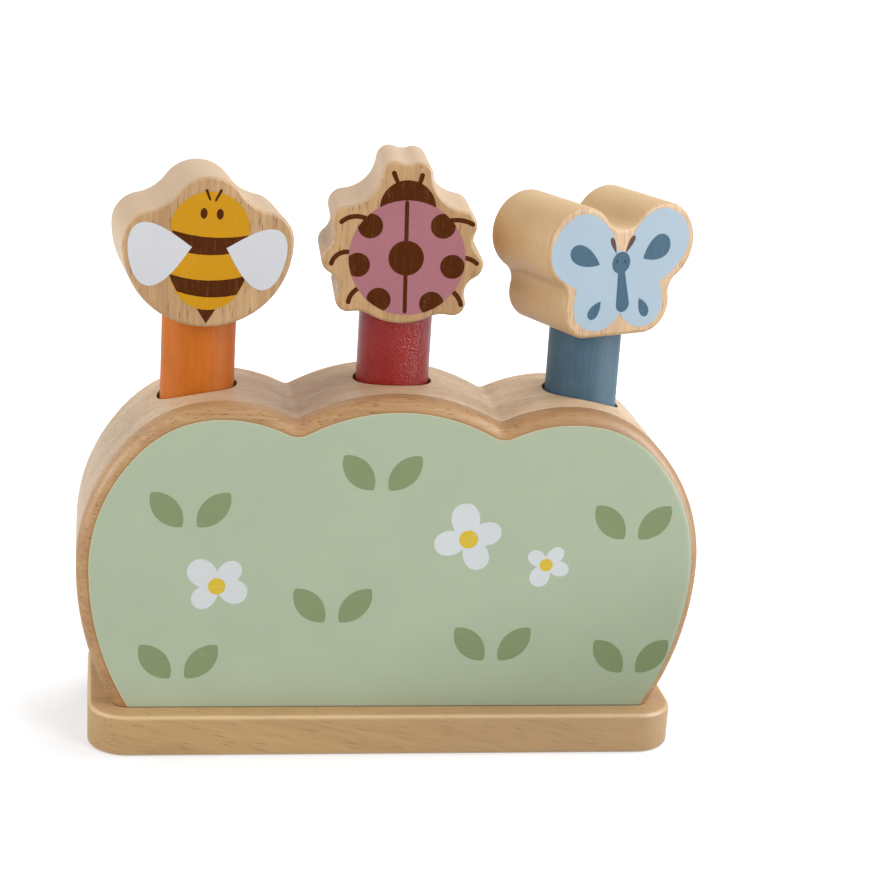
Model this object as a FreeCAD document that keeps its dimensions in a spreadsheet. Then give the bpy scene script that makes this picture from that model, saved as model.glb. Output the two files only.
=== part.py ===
import FreeCAD, Part
import Sketcher
import math
import os

# Wooden pop-up animal toy, in millimetres.
# Row frame: +Z up, -Y is the printed front, origin at the middle of the base plank's underside.
# A three-lobed block with a glued front panel stands on a base plank. Three pegs, each a dowel with
# an animal-shaped head, stand in bores in the block, on discs that ride on compression springs.

SIZES = {
    # base plank
    "base_length": 195.0,
    "base_width": 68.0,
    "base_thick": 14.0,
    "base_corner_radius": 13.0,
    "base_edge_radius": 1.5,
    # lobed body: block behind, panel in front
    "block_depth": 45.0,
    "panel_thick": 8.0,
    "body_edge_radius": 4.3,
    "middle_lobe_top": 105.4,       # above the base plank
    "middle_lobe_radius": 65.5,
    "side_lobe_top": 102.1,         # above the base plank
    "side_lobe_offset": 56.8,       # from the middle to a side lobe's highest point
    "side_lobe_inner_radius": 51.5,
    "side_lobe_outer_radius": 39.5,
    "flank_radius": 59.5,
    "flank_blend_angle": 45.0,      # where a side lobe turns into its flank
    "skirt_radius": 98.5,
    "notch_radius": 3.0,
    # pegs, bores and spring chambers
    "peg_spacing": 64.0,
    "dowel_diameter": 24.0,
    "dowel_end_radius": 1.5,
    "bore_clearance": 1.0,          # all round the dowel
    "shoulder_height": 49.0,        # above the base plank
    "shoulder_width": 1.8,          # step from the bore out to the spring chamber
    "cap_thick": 4.0,
    "cap_clearance": 0.3,           # all round the cap
    "spigot_height": 3.0,
    "seat_depth": 3.0,              # round seat in the base plank
    "chamber_clearance": 3.3,       # all round the coil in its chamber
    "spring_wire": 1.4,
    "spring_turns": 6.0,            # open turns, with one closed turn at each end
    "closed_turn_gap": 0.03,        # between the wires of a closed turn
    "spring_clearance": 0.3,        # at the coil's ends, and at the spigot
    "seat_clearance": 0.6,          # all round the coil in its seat
    # heads
    "head_thick": 32.0,
    "head_edge_radius": 1.3,
    "socket_depth": 12.0,
    "glue_gap": 0.1,                # all round the dowel in its socket
    "bee_rise": 22.0,               # from the lobe's top to the head's underside
    "ladybird_rise": 21.4,
    "butterfly_rise": 22.0,
    "bee_turn": 5.5,                # degrees about the peg's axis, at rest
    "ladybird_turn": -3.5,
    "butterfly_turn": 24.0,
    # bee outline
    "bee_belly_radius": 27.2,
    "bee_wing_radius": 9.5,
    "bee_wing_angle": 2.2,
    "bee_brow_height": 36.0,
    "bee_brow_radius": 12.4,
    "bee_neck_radius": 14.6,
    # ladybird outline
    "ladybird_belly_radius": 20.2,
    "feeler_offset": 3.9,
    "feeler_height": 48.2,
    "feeler_radius": 4.3,
    "front_leg_offset": 18.2,
    "front_leg_height": 32.6,
    "front_leg_radius": 5.0,
    "middle_leg_offset": 21.2,
    "middle_leg_height": 20.1,
    "middle_leg_radius": 4.7,
    "back_leg_offset": 16.7,
    "back_leg_height": 7.4,
    "back_leg_radius": 4.2,
    "ladybird_neck_radius": 12.0,
    "ladybird_hollow_radius": 5.8,
    "ladybird_foot_radius": 9.0,
    # butterfly outline
    "upper_wing_offset": 16.3,
    "upper_wing_height": 30.0,
    "upper_wing_radius": 13.5,
    "lower_wing_offset": 11.5,
    "lower_wing_radius": 10.0,
    "wing_notch_radius": 7.4,
    "wing_waist_radius": 6.0,
    # wood screws, two between each pair of neighbouring bores
    "screw_pitch": 22.0,            # across the base plank
    "screw_diameter": 4.0,
    "screw_tip_diameter": 1.0,
    "screw_tip_length": 4.0,
    "screw_head_diameter": 8.0,
    "screw_head_height": 2.6,
    "screw_sink": 0.5,              # head below the plank's underside
    "screw_length": 32.0,
    "screw_clearance": 0.1,
    "drive_width": 1.2,
    "drive_length": 4.6,
    "drive_depth": 1.6,
}

doc = FreeCAD.newDocument("pop_up_animals")
sheet = doc.addObject("Spreadsheet::Sheet", "sizes")
for row, (alias, value) in enumerate(SIZES.items(), start=1):
    sheet.set(f"A{row}", alias)
    sheet.set(f"B{row}", str(value))
    sheet.setAlias(f"B{row}", alias)
doc.recompute()

TOLERANCE = 1e-6    # lengths that differ by less are equal


def size(alias):
    """A driving dimension, read from the sheet."""
    return float(sheet.get(alias))


# ---------------------------------------------------------------- outlines made of tangent arcs
# A disc is (x, z, radius, bulges). Round a closed outline, each disc touches the next one, bulging
# discs lie inside the outline and hollow ones outside it. Discs run clockwise from the top middle.

def disc(x, z, radius, bulges=True):
    return (x, z, radius, bulges)


def hollow_between(first, second, radius):
    """The hollow disc that rolls into the notch between two bulging discs, and reaches both."""
    run = (second[0] - first[0], second[1] - first[1])
    gap = math.hypot(*run)
    radius = max(radius, gap - first[2] - second[2])
    to_first = first[2] + radius
    to_second = second[2] + radius
    along = (to_first ** 2 - to_second ** 2 + gap ** 2) / (2 * gap)
    out = math.sqrt(to_first ** 2 - along ** 2)
    unit = (run[0] / gap, run[1] / gap)
    x = first[0] + along * unit[0] - out * unit[1]
    z = first[1] + along * unit[1] + out * unit[0]
    return disc(x, z, radius, False)


def touch_point(first, second):
    """Where two neighbouring discs of an outline touch."""
    gap = math.hypot(second[0] - first[0], second[1] - first[1])
    if first[3] == second[3] and first[2] < second[2]:
        first, second = second, first
    reach = first[2] / gap
    return (first[0] + reach * (second[0] - first[0]), first[1] + reach * (second[1] - first[1]))


def disc_arc(this, start, end):
    """The stretch of a disc's edge between two points, going clockwise round the outline."""
    circle = Part.Circle(FreeCAD.Vector(this[0], this[1], 0), FreeCAD.Vector(0, 0, 1), this[2])
    angles = [math.atan2(z - this[1], x - this[0]) for x, z in (start, end)]
    if this[3]:
        angles.reverse()
    return Part.ArcOfCircle(circle, *angles)


def mirror_arc(arc):
    """The same arc on the other side of the middle."""
    middle = arc.Center
    circle = Part.Circle(FreeCAD.Vector(-middle.x, middle.y, 0), FreeCAD.Vector(0, 0, 1), arc.Radius)
    return Part.ArcOfCircle(circle, math.pi - arc.LastParameter, math.pi - arc.FirstParameter)


def half_arcs(discs, start, end):
    """Arcs of the right half, from a point at the top middle to the last disc's end point."""
    points = [start] + [touch_point(a, b) for a, b in zip(discs, discs[1:])] + [end]
    return [disc_arc(this, *pair) for this, pair in zip(discs, zip(points, points[1:]))]


def straight(start, end):
    return Part.LineSegment(FreeCAD.Vector(start[0], start[1], 0), FreeCAD.Vector(end[0], end[1], 0))


def body_outline():
    """Three lobes on top, round flanks, and a skirt that draws in to a flat bottom at z = 0."""
    middle_radius = size("middle_lobe_radius")
    inner_radius = size("side_lobe_inner_radius")
    outer_radius = size("side_lobe_outer_radius")
    flank_radius = size("flank_radius")
    skirt_radius = size("skirt_radius")
    lobe_x = size("side_lobe_offset")
    lobe_top = size("side_lobe_top")
    middle = disc(0, size("middle_lobe_top") - middle_radius, middle_radius)
    inner = disc(lobe_x, lobe_top - inner_radius, inner_radius)
    outer = disc(lobe_x, lobe_top - outer_radius, outer_radius)
    shift = flank_radius - outer_radius
    turn = math.radians(size("flank_blend_angle"))
    flank = disc(outer[0] - shift * math.cos(turn), outer[1] - shift * math.sin(turn), flank_radius)
    skirt = disc(flank[0] + flank_radius - skirt_radius, flank[1], skirt_radius)
    notch = hollow_between(middle, inner, size("notch_radius"))
    foot_x = skirt[0] + math.sqrt(skirt_radius ** 2 - skirt[1] ** 2)
    discs = [middle, notch, inner, outer, flank, skirt]
    arcs = half_arcs(discs, (0, size("middle_lobe_top")), (foot_x, 0))
    bottom = straight((foot_x, 0), (-foot_x, 0))
    return arcs + [bottom] + [mirror_arc(arc) for arc in reversed(arcs)]


def bee_outline():
    """A round belly, a wing shoulder on each side and a domed brow."""
    belly_radius = size("bee_belly_radius")
    wing_radius = size("bee_wing_radius")
    belly = disc(0, belly_radius, belly_radius)
    reach = belly_radius - wing_radius
    turn = math.radians(size("bee_wing_angle"))
    wing = disc(reach * math.cos(turn), belly_radius + reach * math.sin(turn), wing_radius)
    brow = disc(0, size("bee_brow_height"), size("bee_brow_radius"))
    neck = hollow_between(brow, wing, size("bee_neck_radius"))
    arcs = half_arcs([brow, neck, wing, belly], (0, brow[1] + brow[2]), (0, 0))
    return arcs + [mirror_arc(arc) for arc in reversed(arcs)]


def ladybird_outline():
    """Two feeler bumps on top, three leg bumps on each side and a shallow round belly."""
    belly = disc(0, size("ladybird_belly_radius"), size("ladybird_belly_radius"))
    feeler, front_leg, middle_leg, back_leg = [
        disc(size(f"{name}_offset"), size(f"{name}_height"), size(f"{name}_radius"))
        for name in ("feeler", "front_leg", "middle_leg", "back_leg")]
    hollow_radius = size("ladybird_hollow_radius")
    other_feeler = disc(-feeler[0], feeler[1], feeler[2])
    crown = hollow_between(other_feeler, feeler, hollow_radius)
    neck = hollow_between(feeler, front_leg, size("ladybird_neck_radius"))
    upper_side = hollow_between(front_leg, middle_leg, hollow_radius)
    lower_side = hollow_between(middle_leg, back_leg, hollow_radius)
    foot = hollow_between(back_leg, belly, size("ladybird_foot_radius"))
    discs = [crown, feeler, neck, front_leg, upper_side, middle_leg, lower_side, back_leg, foot, belly]
    arcs = half_arcs(discs, (0, crown[1] - crown[2]), (0, 0))
    return arcs + [mirror_arc(arc) for arc in reversed(arcs)]


def butterfly_outline():
    """Two large upper wings, two small lower wings and a flat bottom between them."""
    upper = disc(size("upper_wing_offset"), size("upper_wing_height"), size("upper_wing_radius"))
    lower = disc(size("lower_wing_offset"), size("lower_wing_radius"), size("lower_wing_radius"))
    other_upper = disc(-upper[0], upper[1], upper[2])
    notch = hollow_between(other_upper, upper, size("wing_notch_radius"))
    waist = hollow_between(upper, lower, size("wing_waist_radius"))
    arcs = half_arcs([notch, upper, waist, lower], (0, notch[1] - notch[2]), (lower[0], 0))
    bottom = straight((lower[0], 0), (-lower[0], 0))
    return arcs + [bottom] + [mirror_arc(arc) for arc in reversed(arcs)]


# ---------------------------------------------------------------- small builders
def bind(feature, **expressions):
    """Tie properties to sheet cells; a double underscore in a name stands for a dot."""
    for name, expression in expressions.items():
        feature.setExpression(name.replace("__", "."), expression)


def place(feature, x="0 mm", y="0 mm", z="0 mm", turn="0"):
    """Tie a feature's place, and its turn about Z in degrees, to the sheet."""
    bind(feature, Placement__Base__x=x, Placement__Base__y=y, Placement__Base__z=z,
         Placement__Rotation__Angle=turn)


def origin_plane(body, role):
    return [plane for plane in body.Origin.OriginFeatures if plane.Role == role][0]


def shared_ends(first, second):
    """Which ends of two neighbouring curves meet: 1 is a curve's start and 2 its end."""
    for first_end, first_point in enumerate((first.StartPoint, first.EndPoint), start=1):
        for second_end, second_point in enumerate((second.StartPoint, second.EndPoint), start=1):
            if first_point.distanceToPoint(second_point) < TOLERANCE:
                return first_end, second_end
    raise ValueError("the outline is open")


def add_sketch(body, role, name, curves):
    """A sketch of a closed outline, its curves joined end to end, on a plane of the body's origin."""
    sketch = body.newObject("Sketcher::SketchObject", name)
    sketch.AttachmentSupport = (origin_plane(body, role), "")
    sketch.MapMode = "FlatFace"
    sketch.addGeometry(curves, False)
    for number, curve in enumerate(curves):
        following = (number + 1) % len(curves)
        this_end, other_end = shared_ends(curve, curves[following])
        sketch.addConstraint(Sketcher.Constraint("Coincident", number, this_end, following, other_end))
    return sketch


def edges_where(shape, test):
    return [f"Edge{number}" for number, edge in enumerate(shape.Edges, start=1) if test(edge)]


def on_plane(edge, axis, level):
    box = edge.BoundBox
    low, high = (box.YMin, box.YMax) if axis == "y" else (box.ZMin, box.ZMax)
    return abs(low - level) < TOLERANCE and abs(high - level) < TOLERANCE


def curved_rim(shape, level):
    """The edges of a slab's outline at one y, without its flat bottom."""
    return edges_where(shape, lambda edge: on_plane(edge, "y", level) and not on_plane(edge, "z", 0))


def add_fillet(body, base, names, alias):
    fillet = body.newObject("PartDesign::Fillet", f"{body.Name}_{alias}")
    fillet.Base = (base, names)
    bind(fillet, Radius=f"sizes.{alias}")
    doc.recompute()
    return fillet


def slab(name, outline, depth_alias, midplane=False):
    """A board cut to an outline in the XZ plane; it runs from y = 0 to the front, or both ways."""
    body = doc.addObject("PartDesign::Body", name)
    sketch = add_sketch(body, "XZ_Plane", f"{name}_outline", outline)
    pad = body.newObject("PartDesign::Pad", f"{name}_pad")
    pad.Profile = sketch
    pad.Midplane = midplane
    bind(pad, Length=f"sizes.{depth_alias}")
    doc.recompute()
    return body, pad


def cylinder(name, radius, height, **where):
    feature = doc.addObject("Part::Cylinder", name)
    bind(feature, Radius=radius, Height=height)
    place(feature, **where)
    return feature


def cone(name, low_radius, high_radius, height, **where):
    feature = doc.addObject("Part::Cone", name)
    bind(feature, Radius1=low_radius, Radius2=high_radius, Height=height)
    place(feature, **where)
    return feature


def cut(name, base, tools):
    feature = doc.addObject("Part::Cut", name)
    feature.Base = base
    feature.Tool = tools[0] if len(tools) == 1 else fuse(f"{name}_tools", tools)
    return feature


def fuse(name, shapes):
    feature = doc.addObject("Part::MultiFuse", name)
    feature.Shapes = shapes
    return feature


# Heights, places and radii that several pieces share, as sheet expressions
BORE_Y = "sizes.panel_thick / 2"
BASE_TOP = "sizes.base_thick"
SHOULDER_Z = "(sizes.base_thick + sizes.shoulder_height)"
SEAT_Z = "(sizes.base_thick - sizes.seat_depth)"
CAP_Z = f"({SHOULDER_Z} - sizes.cap_thick)"
BODY_DEPTH = "(sizes.block_depth + sizes.panel_thick)"
DOWEL_R = "sizes.dowel_diameter / 2"
BORE_R = f"({DOWEL_R} + sizes.bore_clearance)"
CHAMBER_R = f"({BORE_R} + sizes.shoulder_width)"
SPRING_R = f"({CHAMBER_R} - sizes.chamber_clearance)"
SCREW_R = "sizes.screw_diameter / 2"
SCREW_HEAD_R = "sizes.screw_head_diameter / 2"
SCREW_HOLE_R = f"({SCREW_R} + sizes.screw_clearance)"
SCREW_SINK_R = f"({SCREW_HEAD_R} + sizes.screw_clearance)"

ANIMALS = ("bee", "ladybird", "butterfly")
PEG_X = {"bee": "-sizes.peg_spacing", "ladybird": "0 mm", "butterfly": "sizes.peg_spacing"}
LOBE_TOP = {"bee": "side_lobe_top", "ladybird": "middle_lobe_top", "butterfly": "side_lobe_top"}
OUTLINES = {"bee": bee_outline, "ladybird": ladybird_outline, "butterfly": butterfly_outline}
HEAD_Z = {animal: f"(sizes.base_thick + sizes.{LOBE_TOP[animal]} + sizes.{animal}_rise)"
          for animal in ANIMALS}

SCREW_PLACES = [(f"{x_side} * sizes.peg_spacing / 2", f"({BORE_Y} + {y_side} * sizes.screw_pitch / 2)")
                for x_side in (-1, 1) for y_side in (-1, 1)]


# ---------------------------------------------------------------- base plank
def base_plank():
    """A plank with round corners and softened edges, spring seats above and screw holes below."""
    half_length = size("base_length") / 2
    half_width = size("base_width") / 2
    corners = [(-half_length, -half_width), (half_length, -half_width),
               (half_length, half_width), (-half_length, half_width)]
    sides = [straight(*pair) for pair in zip(corners, corners[1:] + corners[:1])]
    body = doc.addObject("PartDesign::Body", "plank")
    sketch = add_sketch(body, "XY_Plane", "plank_outline", sides)
    pad = body.newObject("PartDesign::Pad", "plank_pad")
    pad.Profile = sketch
    bind(pad, Length="sizes.base_thick")
    doc.recompute()
    thick = size("base_thick")
    upright = edges_where(pad.Shape, lambda edge: edge.BoundBox.ZLength > thick / 2)
    rounded = add_fillet(body, pad, upright, "base_corner_radius")
    rims = edges_where(rounded.Shape, lambda edge: on_plane(edge, "z", 0) or on_plane(edge, "z", thick))
    add_fillet(body, rounded, rims, "base_edge_radius")
    tools = [cylinder(f"{animal}_seat", f"{SPRING_R} + sizes.seat_clearance", "sizes.seat_depth",
                      x=PEG_X[animal], y=BORE_Y, z=SEAT_Z) for animal in ANIMALS]
    for number, (x, y) in enumerate(SCREW_PLACES, start=1):
        tools.append(cylinder(f"plank_screw_hole_{number}", SCREW_HOLE_R, BASE_TOP, x=x, y=y))
        tools.append(cylinder(f"plank_screw_sink_{number}", SCREW_SINK_R, "sizes.screw_sink", x=x, y=y))
        tools.append(cone(f"plank_countersink_{number}", SCREW_SINK_R, SCREW_HOLE_R,
                          "sizes.screw_head_height", x=x, y=y, z="sizes.screw_sink"))
    return cut("base_plank", body, tools)


# ---------------------------------------------------------------- block and panel
def body_block():
    """The thick lobed block: a bore and a wider spring chamber for each peg, and screw pilot holes."""
    body, pad = slab("block", body_outline(), "block_depth")
    add_fillet(body, pad, curved_rim(pad.Shape, 0), "body_edge_radius")
    place(body, y=f"{BODY_DEPTH} / 2", z=BASE_TOP)
    bore_top = "(sizes.middle_lobe_top - sizes.shoulder_height)"
    pilot_depth = "(sizes.screw_length + sizes.screw_sink + sizes.screw_clearance - sizes.base_thick)"
    tools = []
    for animal in ANIMALS:
        tools.append(cylinder(f"{animal}_bore", BORE_R, bore_top,
                              x=PEG_X[animal], y=BORE_Y, z=SHOULDER_Z))
        tools.append(cylinder(f"{animal}_chamber", CHAMBER_R, "sizes.shoulder_height",
                              x=PEG_X[animal], y=BORE_Y, z=BASE_TOP))
    for number, (x, y) in enumerate(SCREW_PLACES, start=1):
        tools.append(cylinder(f"pilot_hole_{number}", SCREW_HOLE_R, pilot_depth, x=x, y=y, z=BASE_TOP))
    return cut("body_block", body, tools)


def front_panel():
    """The printed board, glued to the block's front, with a rounded front edge."""
    body, pad = slab("front_panel", body_outline(), "panel_thick")
    add_fillet(body, pad, curved_rim(pad.Shape, -size("panel_thick")), "body_edge_radius")
    place(body, y=f"sizes.panel_thick - {BODY_DEPTH} / 2", z=BASE_TOP)
    return body


def base_screws():
    """Countersunk wood screws from below, with a straight drive slot."""
    screws = []
    shank_length = "(sizes.screw_length - sizes.screw_tip_length)"
    for number, (x, y) in enumerate(SCREW_PLACES, start=1):
        crown = cone(f"screw_head_{number}", SCREW_HEAD_R, SCREW_R, "sizes.screw_head_height",
                     x=x, y=y, z="sizes.screw_sink")
        shank = cylinder(f"screw_shank_{number}", SCREW_R, shank_length, x=x, y=y, z="sizes.screw_sink")
        tip = cone(f"screw_tip_{number}", SCREW_R, "sizes.screw_tip_diameter / 2", "sizes.screw_tip_length",
                   x=x, y=y, z=f"sizes.screw_sink + {shank_length}")
        slot = doc.addObject("Part::Box", f"screw_slot_{number}")
        bind(slot, Length="sizes.drive_length", Width="sizes.drive_width", Height="sizes.drive_depth")
        place(slot, x=f"{x} - sizes.drive_length / 2", y=f"{y} - sizes.drive_width / 2",
              z="sizes.screw_sink")
        screws.append(cut(f"screw_{number}", fuse(f"screw_blank_{number}", [crown, shank, tip]), [slot]))
    return fuse("base_screws", screws)


# ---------------------------------------------------------------- pegs
def dowel(animal):
    """A round peg that stands on its cap and ends in the head's socket."""
    length = f"{HEAD_Z[animal]} + sizes.socket_depth - {SHOULDER_Z}"
    blank = cylinder(f"{animal}_dowel_blank", DOWEL_R, length, x=PEG_X[animal], y=BORE_Y, z=SHOULDER_Z)
    doc.recompute()
    feature = doc.addObject("Part::Fillet", f"{animal}_dowel")
    feature.Base = blank
    radius = size("dowel_end_radius")
    rim = [number for number, edge in enumerate(blank.Shape.Edges, start=1)
           if on_plane(edge, "z", blank.Shape.BoundBox.ZMin) and edge.Length > radius]
    feature.Edges = [(number, radius, radius) for number in rim]
    return feature


def head(animal):
    """A thick block cut to the animal's outline, with a socket for the dowel in its underside."""
    body, pad = slab(f"{animal}_block", OUTLINES[animal](), "head_thick", midplane=True)
    half = size("head_thick") / 2
    rims = edges_where(pad.Shape, lambda edge: on_plane(edge, "y", -half) or on_plane(edge, "y", half))
    add_fillet(body, pad, rims, "head_edge_radius")
    place(body, x=PEG_X[animal], y=BORE_Y, z=HEAD_Z[animal], turn=f"sizes.{animal}_turn")
    socket = cylinder(f"{animal}_socket", f"{DOWEL_R} + sizes.glue_gap", "sizes.socket_depth",
                      x=PEG_X[animal], y=BORE_Y, z=HEAD_Z[animal])
    return cut(f"{animal}_head", body, [socket])


def spring_cap(animal):
    """A disc that rides in the spring chamber; a spigot below it keeps the coil in the middle."""
    plate_radius = f"{CHAMBER_R} - sizes.cap_clearance"
    spigot_radius = f"{SPRING_R} - sizes.spring_wire - sizes.spring_clearance"
    plate = cylinder(f"{animal}_cap_plate", plate_radius, "sizes.cap_thick",
                     x=PEG_X[animal], y=BORE_Y, z=CAP_Z)
    spigot = cylinder(f"{animal}_cap_spigot", spigot_radius, "sizes.spigot_height",
                      x=PEG_X[animal], y=BORE_Y, z=f"{CAP_Z} - sizes.spigot_height")
    return fuse(f"{animal}_spring_cap", [plate, spigot])


def spring(animal, x):
    """A steel compression spring with one closed turn at each end, swept along its helix."""
    wire_size = size("spring_wire")
    outer_radius = (size("dowel_diameter") / 2 + size("bore_clearance") + size("shoulder_width")
                    - size("chamber_clearance"))
    mean_radius = outer_radius - wire_size / 2
    turns = size("spring_turns")
    low = size("base_thick") - size("seat_depth") + size("spring_clearance")
    high = size("base_thick") + size("shoulder_height") - size("cap_thick") - size("spring_clearance")
    closed_pitch = wire_size + size("closed_turn_gap")
    open_height = high - low - wire_size - 2 * closed_pitch
    stretches = [(closed_pitch, 1.0), (open_height, turns), (closed_pitch, 1.0)]
    edges = []
    height = 0.0
    turned = 0.0
    for rise, count in stretches:
        helix = Part.makeHelix(rise / count, rise, mean_radius)
        helix.rotate(FreeCAD.Vector(), FreeCAD.Vector(0, 0, 1), 360 * turned)
        helix.translate(FreeCAD.Vector(0, 0, height))
        edges += helix.Edges
        height += rise
        turned += count
    section = Part.makeCircle(wire_size / 2, FreeCAD.Vector(mean_radius, 0, 0), FreeCAD.Vector(0, 1, 0))
    coil = Part.Wire(edges).makePipeShell([Part.Wire(section)], True, True)
    feature = doc.addObject("Part::Feature", f"{animal}_spring")
    feature.Shape = coil
    feature.Placement = FreeCAD.Placement(
        FreeCAD.Vector(x, size("panel_thick") / 2, low + wire_size / 2), FreeCAD.Rotation())
    return feature


# ---------------------------------------------------------------- assemble, check and export
nodes = [base_plank(), body_block(), front_panel(), base_screws()]
for side, animal in zip((-1, 0, 1), ANIMALS):
    nodes += [spring(animal, side * size("peg_spacing")), spring_cap(animal), dowel(animal), head(animal)]
for node in nodes:
    node.Label = node.Name
doc.recompute()

for feature in doc.Objects:
    if "Invalid" in feature.State or "Error" in feature.State:
        raise RuntimeError(f"{feature.Name} failed: {feature.State}")
for node in nodes:
    if node.Shape.isNull() or not node.Shape.isValid():
        raise RuntimeError(f"{node.Name} has no valid shape")

os.makedirs("parts", exist_ok=True)
for node in nodes:
    node.Shape.exportStep(f"parts/{node.Label}.step")
    box = node.Shape.BoundBox
    print(f"{node.Label}: {len(node.Shape.Solids)} solid(s), {node.Shape.Volume:.0f} mm3, "
          f"z {box.ZMin:.1f} to {box.ZMax:.1f}")
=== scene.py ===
import math

import bmesh
import bpy
from mathutils import Matrix, Vector


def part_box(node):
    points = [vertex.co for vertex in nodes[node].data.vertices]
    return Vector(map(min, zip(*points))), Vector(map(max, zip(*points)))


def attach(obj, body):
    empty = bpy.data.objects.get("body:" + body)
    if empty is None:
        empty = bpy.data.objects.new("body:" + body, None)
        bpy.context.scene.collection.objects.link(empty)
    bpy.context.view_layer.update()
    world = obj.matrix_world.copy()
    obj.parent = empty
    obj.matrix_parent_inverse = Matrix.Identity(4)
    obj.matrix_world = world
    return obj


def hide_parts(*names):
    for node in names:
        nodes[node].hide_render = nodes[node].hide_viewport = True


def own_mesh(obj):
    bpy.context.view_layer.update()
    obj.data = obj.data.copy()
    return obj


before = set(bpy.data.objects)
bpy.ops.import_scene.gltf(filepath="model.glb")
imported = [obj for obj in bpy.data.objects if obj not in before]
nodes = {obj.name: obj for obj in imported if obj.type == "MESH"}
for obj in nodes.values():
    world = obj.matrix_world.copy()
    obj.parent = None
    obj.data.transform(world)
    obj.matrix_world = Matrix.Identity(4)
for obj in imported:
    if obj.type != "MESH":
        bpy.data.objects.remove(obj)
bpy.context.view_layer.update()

# ------------------------------------------------------------------------------------- camera
# A long lens a little to the left of the toy's printed front and above it, rolled slightly, so
# that the base plank climbs to the right.
MM = 0.001                      # sizes are in millimetres; every finished mesh is in metres
CAMERA_TARGET = Vector((15.0, 0.0, 100.1)) * MM
CAMERA_DISTANCE = 730.0 * MM
CAMERA_LENS = 90.95
CAMERA_SENSOR = 36.0            # the sensor's width, in mm as the lens
CAMERA_NEAREST = 10.0 * MM      # nothing closer to the lens is drawn
CAMERA_YAW = math.radians(-9.6)
CAMERA_ELEVATION = math.radians(16.8)
CAMERA_ROLL = math.radians(3.7)


def set_camera():
    level = math.cos(CAMERA_ELEVATION)
    back = Vector((math.sin(CAMERA_YAW) * level, -math.cos(CAMERA_YAW) * level,
                   math.sin(CAMERA_ELEVATION)))
    camera = bpy.data.objects.new("camera", bpy.data.cameras.new("camera"))
    bpy.context.scene.collection.objects.link(camera)
    camera.data.lens = CAMERA_LENS
    camera.data.sensor_width = CAMERA_SENSOR
    camera.data.clip_start = CAMERA_NEAREST
    facing = (-back).to_track_quat("-Z", "Y").to_matrix() @ Matrix.Rotation(CAMERA_ROLL, 3, "Z")
    camera.matrix_world = Matrix.Translation(CAMERA_TARGET + back * CAMERA_DISTANCE) @ facing.to_4x4()
    bpy.context.scene.camera = camera
    bpy.context.scene.view_settings.view_transform = "Standard"


set_camera()

# ------------------------------------------------------------------------------ studio and floor
# A white floor under soft daylight: a tall softbox in front at the right, others at the left, at
# the upper right and above, two strips that only shine in satin paint, and an even white surround.
FLOOR_SIZE = 8000.0
FLOOR_WHITE = (0.587, 0.595, 0.609, 1.0)
FLOOR_ROUGHNESS, FLOOR_GLOSS = 0.9, 0.1
SURROUND_LEVEL = 0.46           # how strongly it lights the toy
LIFT_NEAR, LIFT_FAR = 0.43, 0.80            # the white that the camera sees without any light
LIFT_STARTS, LIFT_ENDS = 0.09, 0.20         # metres from the toy's middle
SOFTBOXES = [                   # name, place, width, height and watts
    ("right_softbox", (600.0, -690.0, 640.0), 320.0, 1100.0, 4.7),
    ("left_softbox", (-550.0, -480.0, 420.0), 450.0, 450.0, 1.65),
    ("back_softbox", (350.0, 380.0, 1150.0), 700.0, 700.0, 4.9),
    ("side_softbox", (700.0, 40.0, 620.0), 220.0, 480.0, 2.8),
    ("left_fill", (-880.0, 40.0, 320.0), 300.0, 500.0, 1.6),
]
SHINE_STRIPS = [
    ("left_strip", (-690.0, -122.0, 305.0), 100.0, 590.0, 6.0),
    ("right_strip", (640.0, -280.0, 305.0), 300.0, 590.0, 19.0),
]


def add_node(tree, kind, inputs=None, **settings):
    """A new node; inputs maps a socket to a value or to the socket that feeds it."""
    made = tree.nodes.new(kind)
    for name, value in settings.items():
        setattr(made, name, value)
    for key, value in (inputs or {}).items():
        if isinstance(value, bpy.types.NodeSocket):
            tree.links.new(value, made.inputs[key])
        else:
            made.inputs[key].default_value = value
    return made


def math_node(tree, operation, *values):
    return add_node(tree, "ShaderNodeMath", dict(enumerate(values)), operation=operation).outputs[0]


def ramp_node(tree, value, low, high, to_low=0.0, to_high=1.0):
    """A value carried smoothly from one range to another, and held at its ends."""
    return add_node(tree, "ShaderNodeMapRange",
                    {"Value": value, "From Min": low, "From Max": high,
                     "To Min": to_low, "To Max": to_high},
                    interpolation_type="SMOOTHSTEP").outputs["Result"]


def grey_node(tree, value):
    """A value as a grey colour."""
    return add_node(tree, "ShaderNodeCombineColor", {0: value, 1: value, 2: value}).outputs[0]


def seen_by_camera(tree):
    """1 for rays that show the background itself: from the camera, or by reflection or glass."""
    light = add_node(tree, "ShaderNodeLightPath")
    seen = math_node(tree, "MAXIMUM", light.outputs["Is Camera Ray"], light.outputs["Is Glossy Ray"])
    return math_node(tree, "MAXIMUM", seen, light.outputs["Is Transmission Ray"])


def new_material(name):
    """A material with its Principled BSDF and output, its node tree and that shader."""
    material = bpy.data.materials.new(name)
    material.use_nodes = True
    return material, material.node_tree, material.node_tree.nodes["Principled BSDF"]


def set_surround():
    world = bpy.data.worlds.new("surround")
    bpy.context.scene.world = world
    world.use_nodes = True
    tree = world.node_tree
    tree.nodes.clear()
    level = math_node(tree, "MULTIPLY_ADD", seen_by_camera(tree), 1.0 - SURROUND_LEVEL, SURROUND_LEVEL)
    background = add_node(tree, "ShaderNodeBackground",
                          {"Color": (1.0, 1.0, 1.0, 1.0), "Strength": level})
    add_node(tree, "ShaderNodeOutputWorld", {"Surface": background.outputs[0]})


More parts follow.
